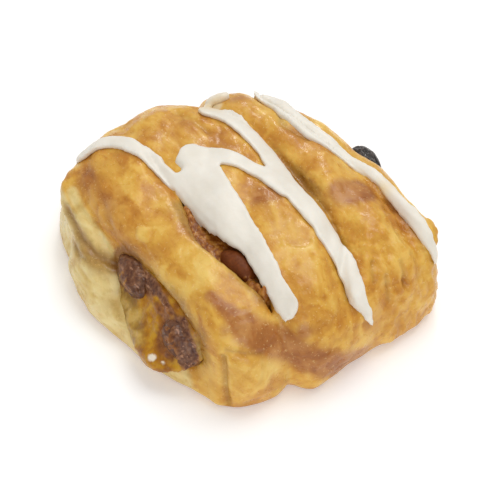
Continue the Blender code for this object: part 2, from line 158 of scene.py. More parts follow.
# Where the dough's edge, lobes and base bulge out or draw in.
BULGES = (
    ((41, -37.5, 25.5), (3.6, 4.2, 4), (2.6, -1.4, 1.0)), ((42, -33, 14), (5, 9, 8), (-1.5, 1, 0)),
    ((40, -24, 28), (4, 7, 5), (-0.9, 0, -0.6)), ((-30, 38, 26), (6, 6, 5), (0.5, -0.6, -0.7)),
    ((-43, 29, 9), (4.5, 8, 7), (2.8, -1.5, 0)), ((-34, 38, 23), (4, 5, 4), (-0.9, 2.4, 0.5)),
    ((-40.5, 39, 14), (5, 6, 6), (2.8, -1.5, -0.3)), ((-38, 36, 20.5), (4, 5, 4), (-1.1, 0.7, 0)),
    ((-36, 38, 24), (3, 4, 3), (-0.9, 0.8, 0.3)), ((-40.5, 38, 6), (4, 5, 5), (1.2, -0.8, 0)),
    ((-43.8, 23, 7.5), (4, 5.5, 6), (-2.3, 1.3, 0)), ((-48, 8, 7), (3, 4, 5), (0.8, -0.4, 0)),
    ((-12.5, -48.5, 2), (3, 4, 6), (0, -1.3, 0)), ((31.5, -45.5, 3), (4, 5, 6), (0, -1, 0)),
    ((41, -32.5, 26.5), (3, 4, 3), (1.3, -0.6, 0.3)), ((38, -1, 28.5), (4, 8, 5), (-0.6, 0.3, -1.4)),
    ((-25, -39, 1), (5, 4, 4), (0, -1, 0)), ((-45.5, 11, 5), (4, 9, 8), (-1.8, -1, 0)),
    ((-46, -9, 4), (4, 8, 6), (1.3, 0.9, 0)), ((-38.5, -30, 3), (5, 5, 5), (-0.9, 0.6, 0)),
    ((-18.4, -25.5, 29), (3.6, 8, 4.5), (1.3, 0.4, 0.5)), ((-16, -33, 27), (3, 4.5, 4), (1.2, 0.5, 0.5)),
    ((40.5, -14, 25), (4, 12, 6), (1, 0.4, 0.3)), ((-33.5, -36, 3), (4, 5, 7), (-0.9, -1.3, 0)),
    ((-26, -46, 2), (3.5, 4, 6), (0, 0.7, 0)), ((-35, -40, 2), (3, 3, 5), (-0.6, -1.2, 0)),
    ((-44.5, 17, 10), (3, 4, 5), (-0.8, 0.5, 0)), ((19.5, -47, 2), (4, 4, 6), (0.4, -1.1, 0)),
    ((-17, -46, 2), (4, 4, 6), (0.4, -1.5, 0)), ((-8.5, -49, 2), (5, 4, 6), (0, -1.3, 0)),
    ((4, -49.5, 4), (7, 4, 6), (0, 1.2, 0)), ((25, -46.5, 3), (7, 5, 6), (0.5, -1.1, 0)),
)


# ---------------------------------------------------------------- points, noise and masks

def coordinates(mesh):
    """The mesh's corners, in mm."""
    flat = np.empty(len(mesh.vertices) * 3)
    mesh.vertices.foreach_get("co", flat)
    return flat.reshape(-1, 3) / MM


def set_coordinates(mesh, points):
    """Moves the mesh's corners to the points, in mm."""
    mesh.vertices.foreach_set("co", (points * MM).ravel())
    mesh.update()


def normals(mesh):
    """The way that the surface faces at each corner."""
    flat = np.empty(len(mesh.vertices) * 3)
    mesh.vertex_normals.foreach_get("vector", flat)
    return flat.reshape(-1, 3)


def edges(mesh):
    """Each edge's two corners."""
    flat = np.empty(len(mesh.edges) * 2, dtype=np.int64)
    mesh.edges.foreach_get("vertices", flat)
    return flat.reshape(-1, 2)


def smoothed(values, links, rounds, strength=0.5):
    """Each value drawn towards the mean of its neighbours, again and again."""
    count = len(values)
    near = np.maximum(np.bincount(links.ravel(), minlength=count), 1)[:, None]
    table = values.reshape(count, -1)
    for _ in range(rounds):
        total = np.empty_like(table)
        for column in range(table.shape[1]):
            total[:, column] = (np.bincount(links[:, 0], table[links[:, 1], column], count)
                                + np.bincount(links[:, 1], table[links[:, 0], column], count))
        table = table + strength * (total / near - table)
    return table.reshape(values.shape)


def step(values, low, high):
    """0 below low, 1 above high, and a smooth rise between."""
    part = np.clip((values - low) / (high - low), 0, 1)
    return part * part * (3 - 2 * part)


def hashed(cells, seed):
    """An evenly spread number from -1 to 1 for each whole-number cell."""
    mixed = (cells[:, 0] * 73856093) ^ (cells[:, 1] * 19349663) ^ (cells[:, 2] * 83492791)
    mixed = mixed ^ (seed * 265443576)
    mixed = (mixed ^ (mixed >> 13)) * 1274126177
    mixed = (mixed ^ (mixed >> 16)) & 0xFFFF
    return mixed / 32767.5 - 1


def noise(points, width, seed, stretch=(1, 1, 1)):
    """Smooth noise from -1 to 1 with lumps about that wide."""
    scaled = points / (width * np.array(stretch))
    cell = np.floor(scaled).astype(np.int64)
    part = scaled - cell
    part = part * part * (3 - 2 * part)
    total = np.zeros(len(points))
    for corner in itertools.product((0, 1), repeat=3):
        weight = np.prod(np.where(corner, part, 1 - part), axis=1)
        total += weight * hashed(cell + np.array(corner), seed)
    return total


def rough(points, width, seed, stretch=(1, 1, 1), layers=3):
    """Noise with finer and fainter noise on it."""
    total = np.zeros(len(points))
    for layer in range(layers):
        total += noise(points, width / 2 ** layer, seed + 7 * layer, stretch) / 2 ** layer
    return total / 1.5


def folds(points, width, seed, stretch=(1, 1, 1)):
    """Sharp-crested wrinkles, 1 on the crest and 0 or less far from it."""
    return 1 - np.abs(rough(points, width, seed, stretch)) * 2.2


def plates(points, width, seed, stretch):
    """Irregular plates about that wide: each plate's own number from -1 to 1, and how near its edge is."""
    sway = np.stack([rough(points, width * 0.9, seed + 31 * axis, layers=2) for axis in (1, 2, 3)], axis=1)
    scaled = (points + 0.35 * width * sway) / (width * np.array(stretch))
    cell = np.floor(scaled).astype(np.int64)
    nearest = np.full(len(points), 1e9)
    second = np.full(len(points), 1e9)
    own = np.zeros(len(points))
    for offset in itertools.product((-1, 0, 1), repeat=3):
        there = cell + np.array(offset)
        centre = there + 0.5 + 0.42 * np.stack([hashed(there, seed + axis) for axis in (1, 2, 3)], axis=1)
        gap = np.linalg.norm(scaled - centre, axis=1)
        closer = gap < nearest
        second = np.where(closer, nearest, np.minimum(second, gap))
        nearest = np.where(closer, gap, nearest)
        own = np.where(closer, hashed(there, seed + 5), own)
    return own, np.clip(1 - (second - nearest) / 0.3, 0, 1)


def route_gap(points, route):
    """Distance from each point to a route of straight runs."""
    best = np.full(len(points), 1e9)
    for start, end in zip(route, route[1:]):
        start, end = np.array(start, float), np.array(end, float)
        run = end - start
        part = np.clip((points - start) @ run / (run @ run), 0, 1)
        best = np.minimum(best, np.linalg.norm(points - start - part[:, None] * run, axis=1))
    return best


def along(points, route, width):
    """1 on the route and fading about that far from it."""
    return np.exp(-(route_gap(points, route) / width) ** 2)


def lines(points, table):
    """The routes of a table, each with its own strength and width, added up."""
    return sum(strength * along(points, route, width) for route, strength, width in table)


def spot(points, centre, radii):
    """1 in the middle of an ellipsoid, and fading out past its edge."""
    return np.exp(-np.sum(((points - np.array(centre)) / np.array(radii)) ** 2, axis=1))


def spots(points, places):
    """The places of a table, each with its own strength, added up."""
    return sum(strength * spot(points, centre, radii) for centre, radii, strength in places)


def pushed(points, places):
    """The points after each place of a table has pushed what is near it."""
    for centre, radii, push in places:
        points = points + spot(points, centre, radii)[:, None] * np.array(push)
    return points


# ---------------------------------------------------------------- pieces

def shown(mesh, node, material):
    """Adds a piece that stands for a CAD node."""
    name = {"dough": "crust", "filling": "custard"}.get(node, node.replace("_", "-"))
    piece = bpy.data.objects.new(name, mesh)
    bpy.context.scene.collection.objects.link(piece)
    for face in mesh.polygons:
        face.use_smooth = True
    mesh.materials.append(material)
    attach(piece, "root")
    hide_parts(node)


def tree_of(places):
    """A tree that finds the nearest of the places."""
    tree = KDTree(len(places))
    for index, place in enumerate(places):
        tree.insert(place, index)
    tree.balance()
    return tree


def gap_to(points, nodes):
    """Distance from each point to the nearest corner of those CAD nodes."""
    tree = tree_of(np.concatenate([coordinates(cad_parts[node].data) for node in nodes]))
    return np.array([tree.find(place)[2] for place in points])


def carried(points, before, after, reach=24):
    """How far the surface under each point moved, from its places before and after."""
    tree = tree_of(before)
    moves = after - before
    shift = np.empty_like(points)
    for index, place in enumerate(points):
        found = [hit[1] for hit in tree.find_n(place, reach)]
        shift[index] = moves[found].mean(axis=0)
    return shift


def swollen(node, amount):
    """A copy of the CAD node's mesh, grown by that amount all round."""
    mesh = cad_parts[node].data.copy()
    set_coordinates(mesh, coordinates(mesh) + amount * normals(mesh))
    return mesh


def remeshed(node, grid, joined=()):
    """The CAD node's shape, fused with any joined meshes, as an even mesh of small squares."""
    whole = bmesh.new()
    for mesh in (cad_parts[node].data, *joined):
        whole.from_mesh(mesh)
    source = bpy.data.objects.new("source", bpy.data.meshes.new("source"))
    whole.to_mesh(source.data)
    whole.free()
    bpy.context.scene.collection.objects.link(source)
    change = source.modifiers.new("grid", "REMESH")
    change.mode = "VOXEL"
    change.voxel_size = grid * MM
    view = bpy.context.evaluated_depsgraph_get()
    mesh = bpy.data.meshes.new_from_object(source.evaluated_get(view))
    bpy.data.objects.remove(source)
    mesh.materials.clear()
    return mesh


def paint(mesh, **masks):
    """Keeps each mask on the mesh, under its own name."""
    for name, values in masks.items():
        layer = mesh.attributes.new(name, "FLOAT", "POINT")
        layer.data.foreach_set("value", np.clip(values, 0, 1).astype(np.float32))


# ---------------------------------------------------------------- crust

# Noises: how wide the lumps are, a seed, and how far they are stretched along X, Y and Z.
LUMPS = (12, 3)
DIMPLES = (4.5, 11)
GRAIN = (7, 21, (0.8, 1.7, 0.9))
FRONT_LUMPS = (6, 31)
FRONT_WRINKLES = (4, 33, (0.8, 1.2, 1.7))
SCRATCHES = (2.6, 41, (2.6, 1.2, 0.7))
DOUGH_LAYERS = (3.0, 51, (3, 3.4, 0.6))
WANDER = (5, 61)                # how the edges of the masks sway
FRAY = (2, 67)                  # and how they fray
FLAKES = (6.5, 71, (0.8, 1.3, 0.9))
RIM_GAPS = (8, 81)

TERRACES = (-0.55, -0.2, 0.2, 0.5)      # values of the grain where the crust steps up
TERRACE_RISE = 0.05             # and how much the grain changes over such a step

# Where an effect begins and where it is full, as limits for step().
BASE = (0.4, 3)                 # up from the table
FRONT = (18, 30)                # along -Y
LAST_RIDGE = (14, 20)           # along X
LAYERED_SIDE = (32, 38)         # along -X
RAW_SIDE = (34.5, 37.5)         # along -X
VALLEY_END = (-30, -22)         # along Y
SLIT_FRONT = (-36.5, -34)       # along Y
SLIT_BACK = (-13, -10.5)        # along -Y
SLIT_FLOOR = (17, 20)           # up from the table
SLIT_TOP = 29.8                 # where the stained walls of the slit end
RAW_TOP = 23.5                  # where the raw layers of the left side end

CREASES = (                     # route, depth, width
    (FRONT_FOLD, 1.3, 1.0), (RIDGE_ONE_EDGE, 0.3, 1.3), (LEFT_CREASE, 1.3, 1.2), (RIGHT_CREVICE, 1.0, 1.1),
    (LOW_CREASE, 0.7, 0.9), (FACET_TOP, 0.6, 0.7), (BACK_CREVICE, 0.8, 1.0), (BACK_FOLD, 0.6, 1.1),
    (FACET_SIDE, 0.35, 0.7), *((crack, 0.7, 0.75) for crack in FRONT_CRACKS),
)
# Painted shade along the creases, the valley, the mouth's upper lip and the slit's edge.
SHADE_ROUTES = (                # route, strength, width
    (LEFT_CREASE, 1.0, 2.6), (LOW_CREASE, 0.7, 2.4), (MIDDLE_VALLEY, 0.8, 2.6), (UPPER_LIP, 1.1, 3.6),
    (BACK_CREVICE, 0.5, 2.5), (SLIT_EDGE, 1.2, 2.8),
)
MASK_EDGES = {                  # where each mask begins and where it is full
    "band": (0.1, 0.6), "brown": (0.25, 1.0), "gold": (0.1, 0.9), "pale": (0.15, 0.9), "raw": (0.2, 0.8),
    "painted_shade": (0.15, 1.1), "stain": (0.35, 0.9), "milk": (0.3, 0.9), "under": (0.3, 0.8), "rim": (-0.2, 0.3),
    "jam": (0.35, 0.9), "dark": (0.7, 1.2), "amber": (0.2, 0.9), "soaked": (0.2, 0.9), "cream": (0.4, 0.8),
    "crease": (0.2, 0.9),
}


def edged(name, values):
    """The values as a mask from 0 to 1, with that mask's soft edge."""
    return step(values, *MASK_EDGES[name])


def crust_relief(points, own, rim):
    """Height to add at each point of the crust: lumps, flakes and wrinkles."""
    lumps = 0.5 * rough(points, *LUMPS) + 0.15 * rough(points, *DIMPLES)
    grain = rough(points, *GRAIN)
    terraces = sum(step(grain, edge, edge + TERRACE_RISE) for edge in TERRACES)
    flakes = terraces * 0.12 + 0.06 * own - 0.07 * rim
    front = step(-points[:, 1], *FRONT) * step(points[:, 0], *LAST_RIDGE)
    wrinkles = (0.6 * rough(points, *FRONT_LUMPS) + 0.55 * folds(points, *FRONT_WRINKLES)) * front
    scratches = folds(points, *SCRATCHES) * 0.18 * along(points, BROWN_BAND, 7)
    layers = folds(points, *DOUGH_LAYERS) * 0.4 * step(-points[:, 0], *LAYERED_SIDE)
    raised = 0.5 * step(spot(points, *OVAL_FLAKE), 0.3, 0.45) + 0.45 * along(points, ARC_FLAKE, 0.8)
    return lumps + flakes + wrinkles + scratches + layers + raised


def crust_cuts(points):
    """Depth of the creases that run over the crust."""
    valley = 0.9 * along(points, MIDDLE_VALLEY, 1.2) * step(points[:, 1], *VALLEY_END)
    return lines(points, CREASES) + valley


def inside_slit(points):
    """1 on the walls of the opening between the first two ridges."""
    places, middles, halves = zip(*SLIT_ROWS)
    middle = np.interp(points[:, 1], places, middles)
    half = np.interp(points[:, 1], places, halves)
    inside = step(half + 0.6 - np.abs(points[:, 0] - middle), -0.4, 0.6)
    ends = step(points[:, 1], *SLIT_FRONT) * step(-points[:, 1], *SLIT_BACK)
    return inside * ends * step(SLIT_TOP - points[:, 2], 0, 3) * step(points[:, 2], *SLIT_FLOOR)


def crust_masks(points, up, relief, cuts):
    """Browning, paleness, stains, and painted shade in the creases and valleys of the crust, each from 0 to
    1.
    """
    wander = 0.2 * rough(points, *WANDER) + 0.1 * rough(points, *FRAY)
    band = lines(points, BAND) + 0.25 * wander
    brown = 0.45 * along(points, RIDGE_ONE_EDGE, 3) + spots(points, BROWNED) + wander
    brown = np.maximum(edged("band", band), edged("brown", brown))
    gold = spots(points, GOLDEN) + 0.9 * along(points, RIDGE_ONE_EDGE, 5) + wander
    side = step(-points[:, 0], *RAW_SIDE) * step(RAW_TOP - points[:, 2], 0, 4)
    raw = np.maximum(side, along(points, PALE_STRIP, 2.2)) - 0.4 * brown
    pale = spots(points, PALE) + spot(points, *OVAL_FLAKE) + 0.8 * along(points, ARC_FLAKE, 1.2)
    pale += 0.9 * along(points, RIGHT_MARGIN, 3)
    # Painted shade along those routes and at the shaded spots.
    painted_shade = lines(points, SHADE_ROUTES) + spots(points, SHADED)
    stain = 0.8 * inside_slit(points) + along(points, UPPER_LIP, 1.0) * 0.5 + spots(points, STAINS)
    # The creases' depth is also painted as shade in them, and lift paints light on the relief's lumps and
    # shade in its hollows.
    return {"brown": brown, "gold": edged("gold", gold), "pale": edged("pale", pale + wander) * (1 - brown),
            "raw": edged("raw", raw + wander * 0.6), "painted_shade": edged("painted_shade", painted_shade + wander),
            "stain": edged("stain", stain + wander), "milk": edged("milk", spots(points, MILKY)),
            "crease": np.clip(cuts, 0, 1), "under": edged("under", -up), "lift": 0.5 + relief * 0.35}


def crust():
    """The dough. Gives back its surface before and after the sculpting, and a tree of the final one."""
    mesh = remeshed("dough", CRUST_GRID)
    start = coordinates(mesh)
    points = pushed(smoothed(start, edges(mesh), CRUST_ROUNDS), BULGES)
    set_coordinates(mesh, points)
    facing = normals(mesh)
    own, rim = plates(points, *FLAKES)
    relief = crust_relief(points, own, rim)
    cuts = crust_cuts(points)
    height = (relief - cuts) * step(points[:, 2], *BASE)
    final = points + facing * height[:, None]
    final[:, 2] = np.maximum(final[:, 2], 0)
    set_coordinates(mesh, final)
    paint(mesh, flake=0.5 + 0.5 * own, rim=rim * edged("rim", rough(points, *RIM_GAPS)),
          **crust_masks(points, facing[:, 2], relief, cuts))
    shown(mesh, "dough", crust_material())
    corners = [tuple(face.vertices) for face in mesh.polygons]
    return start, final, BVHTree.FromPolygons(final.tolist(), corners)


# ---------------------------------------------------------------- filling and raisins

JAM = (
    ((-35, 2.8, 15.5), (3.8, 4, 5), 1.6), ((-34.6, -4.5, 19), (2.6, 3.6, 3), 1.5),
    ((-34.6, -8, 20), (2.2, 3, 2.4), 1.5), ((-34, -12, 20.8), (1.2, 3, 1.2), 1.3),
    ((-34.3, -17, 20.2), (1.1, 3.4, 1.2), 1.3), ((-34, -23.5, 18.5), (2.4, 2.8, 3.4), 1.4),
    ((-34.4, -27.5, 14), (2.4, 3, 5), 1.5), ((-36, -30.5, 11), (2.4, 2.6, 3), 1.4),
)
AMBER = (
    ((-35.4, -16.5, 18.3), (2, 4, 2.6), 0.9), ((-37, -20.8, 14.5), (2, 3, 4), 1.4),
    ((-39.6, -24.5, 15), (1.4, 4, 4), 1.3), ((-38.8, -24, 12.5), (2, 3.4, 3.4), 1.5),
    ((-36, -10.5, 18.2), (1.4, 4, 1.6), 0.6),
)
# Custard soaked with jam; the second place, beside the lower raisin, is painted shade.
SOAKED_AND_SHADE = (
    ((-40, -4.5, 12.4), (2.8, 8, 4), 1.2), ((-32.4, -31, 15.5), (1.6, 4, 4), 1.2),
    ((-42, -12, 9.6), (2.2, 7, 3), 1.1),
)
# Painted highlights on the wet custard that oozes out.
PAINTED_HIGHLIGHTS = (((-43.2, -23.4, 9.6), (1.2, 1.2, 1.2), 1.6), ((-42, -26.4, 9.4), (0.5, 0.6, 0.8), 1.2))
OOZE = (
    ((-43.2, -21.5, 9.6), (2.2, 2.6, 2), 0.9), ((-42.6, -26, 8.4), (2.2, 2.4, 2), 0.4),
    ((-42.6, -16, 9), (2, 2.6, 2), 0.6),
)
# Where the custard laps over the dough or fills the slit.
LAPS = (
    ((-37, 3.5, 14), (3.5, 3, 3), (-0.8, 1.5, 0.3)), ((-40.2, -2.5, 12), (3, 5, 4), (-1.3, 1, -0.2)),
    ((-41.8, -10, 10), (2.5, 5, 3), (-1.2, 0.6, -0.5)), ((-43, -17, 8.5), (2, 4, 3), (-0.7, 0.2, -0.5)),
    ((-42.5, -26, 7), (3.5, 4, 3), (1.1, 1.5, 0.3)), ((-15.3, 4, 25), (4, 7, 4), (-0.5, 0, 2.8)),
    ((-14.2, 7.5, 26), (3, 3, 4), (0, 0, 2.6)), ((-14.4, -31, 24), (4, 6, 4), (0, 0, 2.8)),
    ((-12, -30, 25), (3.5, 5, 4), (0, 0, 2)), ((-12.8, -34, 24), (2.5, 3, 4), (0, 0, 2)),
    ((-12, -35.5, 22), (3, 3, 4), (0, 0, 3)), ((-12.2, -33.9, 22.5), (2.2, 2.4, 4), (0, 0, 2.4)),
    ((-15.4, -10, 26), (6, 9, 3), (0, 0, 0.9)),
)
SUNK_RAISINS = ("raisin_end_upper", "raisin_end_lower", "raisin_slit")
SWELL = 0.45                    # how far the filling closes in on the raisins in it
OPEN_END = (30, 34)             # along -X, where the custard begins to stand proud and where it does fully
SLIT_LEFT = (-31, -27)          # along X, where the slit's syrup begins
SLIT_RIGHT = (-30, -24)         # along -X, where the far end's custard gives way to it
JAM_GAP = (-1.6, -0.7)          # minus the distance from a raisin where jam begins and where it is full

# Noises, as for the crust.
SWELLS = (5, 103)
CURDS = (2.4, 107)
LAP_EDGE = (2.5, 109)
JAM_WANDER = (3, 113)
JAM_FRAY = (1.2, 117)
SKIN_WIDTH = 2.2                # of the raisins' wrinkles
SKIN_STRETCH = (0.8, 1.8, 0.8)


def filling():
    """The custard and jam, closed in on the raisins, with a lapped edge at the open end."""
    mesh = remeshed("filling", FILLING_GRID, [swollen(node, SWELL) for node in SUNK_RAISINS])
    points = smoothed(coordinates(mesh), edges(mesh), FILLING_ROUNDS)
    set_coordinates(mesh, points)
    outside = step(-points[:, 0], *OPEN_END)
    height = (0.3 * rough(points, *SWELLS) + 0.5 * rough(points, *CURDS)) * (0.4 + 0.6 * outside)
    height += 0.4 * outside + spots(points, OOZE)
    final = points + normals(mesh) * height[:, None]
    ragged = 1 + 0.5 * rough(points, *LAP_EDGE)
    for centre, radii, push in LAPS:
        final = final + (spot(points, centre, radii) * ragged)[:, None] * np.array(push)
    set_coordinates(mesh, final)
    wander = 0.3 * rough(points, *JAM_WANDER) + 0.15 * rough(points, *JAM_FRAY)
    inner = step(points[:, 0], *SLIT_LEFT) * step(-points[:, 0], *SLIT_RIGHT)
    jam = spots(points, JAM) + inner + 1.2 * step(-gap_to(points, SUNK_RAISINS[:2]), *JAM_GAP)
    # The highlights on the ooze are painted into the colour.
    paint(mesh, jam=edged("jam", jam + wander), dark=edged("dark", jam * 0.7 + wander) * (1 - inner),
          amber=edged("amber", spots(points, AMBER) + wander),
          soaked=edged("soaked", spots(points, SOAKED_AND_SHADE) + wander),
          slit=inner, cream=edged("cream", spots(points, PAINTED_HIGHLIGHTS)))
    shown(mesh, "filling", filling_material())


def raisin(node, seed, material, wrinkle, proud, shift, rounds=RAISIN_ROUNDS):
    """A raisin with wrinkled skin, that stands a little proud of what it lies in."""
    mesh = remeshed(node, RAISIN_GRID)
    links = edges(mesh)
    points = smoothed(coordinates(mesh), links, rounds)
    set_coordinates(mesh, points)
    creases = folds(points, SKIN_WIDTH, seed, SKIN_STRETCH)
    final = points + normals(mesh) * (proud + wrinkle * (creases - 0.6))[:, None] + np.array(shift)
    set_coordinates(mesh, smoothed(final, links, 1))
    # Painted shade in the skin's creases.
    paint(mesh, crease=edged("crease", 1 - creases))
    shown(mesh, node, material)


# ---------------------------------------------------------------- icing

ICING_BED = 0.5                 # how far the icing beds into the crust
ICING_CLEAR = 0.45              # how far its top stays over the crust
ICING_SWAY = 0.6                # how far it may move sideways with the crust
SWAY_ROUNDS = 24                # rounds of smoothing over that move
ICING_TOP = 0.35                # how far a point has to face up to be part of the top
# Where the icing is fuller or thinner.
ICING_GIRTH = (
    ((15.5, 35.5, 31), (4, 3, 3), 0.8), ((36.4, -27.5, 28), (4, 7, 5), -0.1),
    ((16, -21, 29), (3, 5, 4), -0.3),
)
# Where the icing is drawn sideways.
ICING_SHIFTS = (
    ((10.5, -37.5, 25.5), (3, 3.5, 4), (-1, 0.6, 0)), ((10.5, -26.5, 31), (3.5, 5, 4), (-0.7, 0.4, 0)),
    ((-12, -18, 29.5), (2.5, 4, 3), (1, -0.3, 0)), ((-14.5, -6, 29.5), (2.5, 6, 3), (0.5, 0, 0)),
    ((9.5, -45, 21.5), (4, 4.5, 5), (-1.3, 0.8, 0)), ((12, -48, 18.5), (3, 3, 3), (-1.2, -0.3, 0.6)),
    ((24.6, 35.5, 28.5), (3, 3, 4), (2.2, -0.6, -0.6)), ((29, 12, 31), (5, 9, 4), (-0.7, -0.3, 0)),
    ((31, 4, 30.5), (4, 8, 4), (-0.8, -0.5, 0)),
)
# Where the icing is so thin that the crust shows through.
ICING_THIN = (
    ((34.2, -18, 29), (4, 3, 5), 0.9), ((11.7, 35, 31), (5, 3, 4), 0.9),
)
RIGHT_STRIPE_BACK = ((22, 24, 32), (26, 20, 31.5), (33, 5, 29.5))
SCALLOPS = (3.2, 131)
ICING_LUMPS = (7, 137)

# The gap between the pool and the left stripe, seen from above.
NOTCH = ((-11.6, 21.5, 0), (-11.1, 16.8, 0))
NOTCH_DEPTH = 2.8
NOTCH_WIDTH = 1.2

# Where the icing bridges the valley beside the third ridge, seen from above.
ICING_FOLD = ((14.5, -28, 0), (14, -30, 0), (12.6, -33, 0), (11, -36, 0), (9.5, -39, 0))
FOLD_LIFT = 2.2
FOLD_WIDTH = 2.4
FOLD_ROUNDS = 40                # rounds of smoothing that level it there

SKY = 60                        # above everything
BURIED = 6                      # icing this far below the crust isn't lifted through it
DOWN = Vector((0, 0, -1))


def cleared(points, links, surface):
    """The points' heights, lifted wherever the crust would come through the icing."""
    points = points.copy()
    for _ in range(3):
        lift = np.zeros(len(points))
        for index, (x, y, z) in enumerate(points):
            hit = surface.ray_cast(Vector((x, y, SKY)), DOWN)[0]
            if hit is not None and z > hit.z - BURIED:
                lift[index] = max(0, hit.z + ICING_CLEAR - z)
        points[:, 2] += smoothed(lift, links, 2)
    return points[:, 2]


def icing(node, before, after, surface):
    """A run of icing, laid on the sculpted crust, with soft and slightly scalloped edges."""
    mesh = remeshed(node, ICING_GRID)
    links = edges(mesh)
    raw = coordinates(mesh)
    points = smoothed(raw, links, ICING_ROUNDS)
    set_coordinates(mesh, points)
    facing = normals(mesh)
    side = 1 - np.abs(facing[:, 2]) ** 2
    growth = 0.32 * rough(points, *SCALLOPS, layers=2) * side + 0.12 * rough(points, *ICING_LUMPS)
    growth += spots(points, ICING_GIRTH) + 0.8 * along(points, RIGHT_STRIPE_BACK, 3)
    shift = smoothed(carried(raw, before, after), links, SWAY_ROUNDS)
    shift[:, :2] = np.clip(shift[:, :2], -ICING_SWAY, ICING_SWAY)
    points = pushed(points + facing * growth[:, None] + shift, ICING_SHIFTS)
    over_fold = along(points * FLAT, ICING_FOLD, FOLD_WIDTH)
    points[:, 2] += FOLD_LIFT * over_fold - ICING_BED
    level = smoothed(points[:, 2], links, FOLD_ROUNDS)
    points[:, 2] += np.minimum(1, 1.6 * over_fold) * (level - points[:, 2])
    lift = (cleared(points, links, surface) - points[:, 2]) * (facing[:, 2] > ICING_TOP)
    points[:, 2] += smoothed(lift, links, 2)
    points[:, 2] -= NOTCH_DEPTH * along(points * FLAT, NOTCH, NOTCH_WIDTH)
    set_coordinates(mesh, points)
    paint(mesh, thin=spots(points, ICING_THIN))
    shown(mesh, node, icing_material())


# ---------------------------------------------------------------- materials

# Tones: places along a noise, and the screen colour there, from 0 to 255 a channel.
CRUST_TONES = ((0.34, (192, 126, 38)), (0.46, (208, 148, 52)), (0.54, (220, 166, 64)), (0.68, (234, 190, 92)))
GOLD_TONES = ((0.34, (170, 104, 28)), (0.5, (196, 130, 42)), (0.66, (216, 158, 66)))
PALE_TONES = ((0.34, (216, 162, 60)), (0.5, (228, 180, 78)), (0.66, (238, 202, 112)))
RAW_TONES = ((0.34, (208, 173, 92)), (0.5, (226, 199, 127)), (0.66, (238, 218, 157)))
# Colours of the painted shade in the creases and valleys.
SHADE_TONES = ((0.35, (136, 96, 32)), (0.65, (176, 132, 54)))
BROWN_TONES = ((0.34, (150, 86, 36)), (0.5, (168, 102, 46)), (0.68, (192, 132, 72)))
CUSTARD_TONES = ((0.36, (150, 92, 0)), (0.5, (176, 116, 0)), (0.66, (198, 146, 24)))
SOAKED_TONES = ((0.36, (158, 116, 40)), (0.5, (178, 138, 56)), (0.66, (204, 166, 84)))
JAM_TONES = ((0.36, (92, 49, 27)), (0.5, (126, 79, 46)), (0.66, (156, 108, 72)))
AMBER_TONES = ((0.36, (120, 66, 16)), (0.64, (156, 96, 32)))
SYRUP_TONES = ((0.36, (134, 72, 14)), (0.5, (162, 98, 32)), (0.64, (196, 136, 62)))
ICING_TONES = ((0.3, (232, 225, 211)), (0.7, (240, 234, 222)))
FLOOR_TONES = ((0.3, (253, 253, 253)), (0.7, (255, 255, 255)))

RAISIN_COLOURS = {              # darker skin, also painted in the creases as shade; lighter skin; and its bloom
    "moist raisin": ((74, 40, 25), (122, 79, 52), (146, 104, 76)),
    "soaked raisin": ((98, 44, 6), (118, 58, 12), (128, 68, 20)),
    "dry raisin": ((32, 27, 25), (58, 49, 45), (94, 82, 74)),
}


def tint(red, green, blue):
    """A screen colour from 0 to 255 a channel, as the light values that a shader takes (the sRGB curve)."""
    return tuple((c / 255 / 12.92) if c <= 10 else ((c / 255 + 0.055) / 1.055) ** 2.4
                 for c in (red, green, blue)) + (1,)


class Shader:
    """Builds one procedural material node by node."""

    def __init__(self, name):
        self.material = bpy.data.materials.new(name)
        self.material.use_nodes = True
        self.tree = self.material.node_tree
        self.surface = self.tree.nodes["Principled BSDF"]
        place = self.tree.nodes.new("ShaderNodeTexCoord").outputs["Object"]
        self.place = self.node("VectorMath", {0: place, "Scale": 1 / MM}, operation="SCALE").outputs[0]

    def put(self, socket, value):
        """Links the value to the socket if it comes from a node, or sets it there."""
        if isinstance(value, bpy.types.NodeSocket):
            self.tree.links.new(value, socket)
        else:
            socket.default_value = value

    def node(self, kind, inputs, **settings):
        made = self.tree.nodes.new("ShaderNode" + kind)
        for name, value in settings.items():
            setattr(made, name, value)
        for name, value in inputs.items():
            self.put(made.inputs[name], value)
        return made

    def mask(self, name, strength=1.0):
        """A mask kept on the mesh, weakened to that strength."""
        return self.times(self.node("Attribute", {}, attribute_name=name).outputs["Fac"], strength)

    def noise(self, width, detail=3, stretch=(1, 1, 1), roughness=0.55, distortion=0):
        place = self.node("VectorMath", {0: self.place, 1: tuple(1 / s for s in stretch)},
                          operation="MULTIPLY").outputs[0]
        return self.node("TexNoise", {"Vector": place, "Scale": 1 / width, "Detail": detail,
                                      "Roughness": roughness, "Distortion": distortion}).outputs["Fac"]

    def times(self, first, second):
        return self.node("Math", {0: first, 1: second}, operation="MULTIPLY").outputs[0]

    def plus(self, first, second):
        return self.node("Math", {0: first, 1: second}, operation="ADD").outputs[0]

    def between(self, value, low, high, start=0.0, end=1.0):
        """A smooth change from start to end as the value goes from low to high."""
        return self.node("MapRange", {"Value": value, "From Min": low, "From Max": high, "To Min": start,
                                      "To Max": end}, interpolation_type="SMOOTHSTEP").outputs[0]

    def blend(self, factor, first, second):
        return self.node("Mix", {0: factor, 6: first, 7: second}, data_type="RGBA").outputs[2]

    def ramp(self, value, tones):
        """The tones' colour at each value."""
        made = self.node("ValToRGB", {"Fac": value})
        ramp = made.color_ramp
        while len(ramp.elements) < len(tones):
            ramp.elements.new(0.5)
        for element, (place, colour) in zip(ramp.elements, tones):
            element.position = place
            element.color = tint(*colour)
        return made.outputs["Color"]

    def bump(self, height, distance, strength):
        inputs = {"Height": height, "Distance": distance * MM, "Strength": strength}
        return self.node("Bump", inputs).outputs["Normal"]

    def finish(self, **inputs):
        """Sets the surface's inputs, whose names have _ for a space, and gives back the material."""
        for name, value in inputs.items():
            self.put(self.surface.inputs[name.replace("_", " ")], value)
        return self.material


